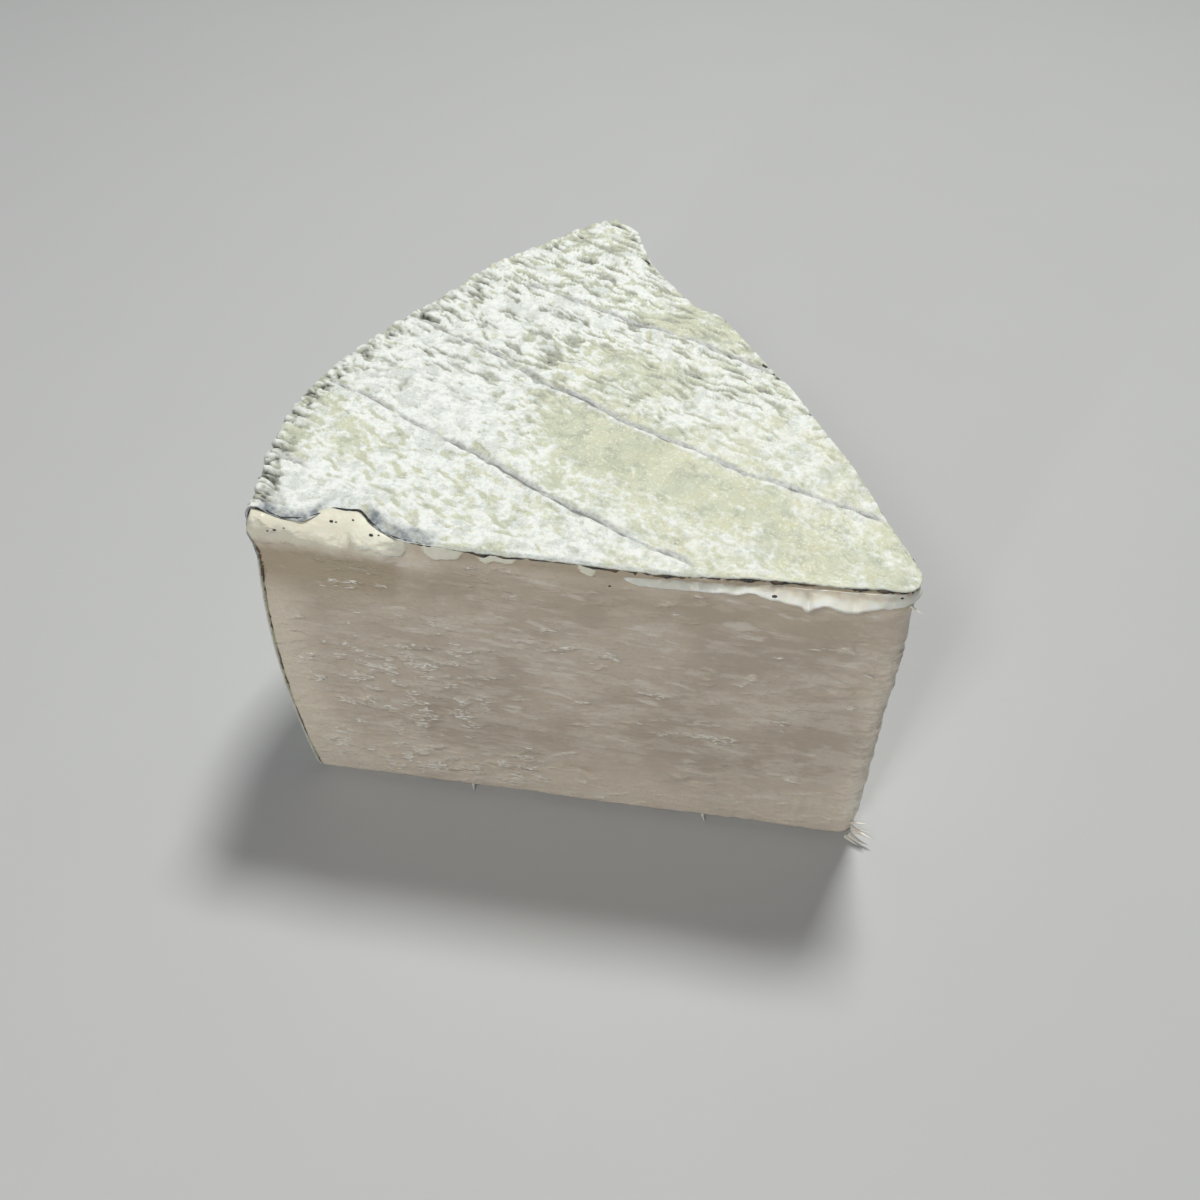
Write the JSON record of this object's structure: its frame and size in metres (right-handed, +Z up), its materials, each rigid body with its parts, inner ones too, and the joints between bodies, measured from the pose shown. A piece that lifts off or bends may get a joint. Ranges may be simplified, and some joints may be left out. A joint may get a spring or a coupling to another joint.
{
  "type": "cheese wedge",
  "caption": "Wedge of soft ash-ripened goat cheese cut from a wheel, with a bloomy rind on top and around the outer side and two bare cut faces",
  "frame": {"origin": "centre of the bounding box's bottom face, on the surface that the wedge rests on", "axes": "+Z up; the front cut face runs along X and faces -Y, with the narrow apex at +X and the outer rind side at -X; the far corner, or horn, is at +Y"},
  "size_m": [0.114, 0.1076, 0.0717],
  "materials": {
    "paste": "satin",
    "rind": "matte",
    "ash": "matte"
  },
  "bodies": {
    "root": {"cheese_wedge": "paste"}
  },
  "joints": []
}
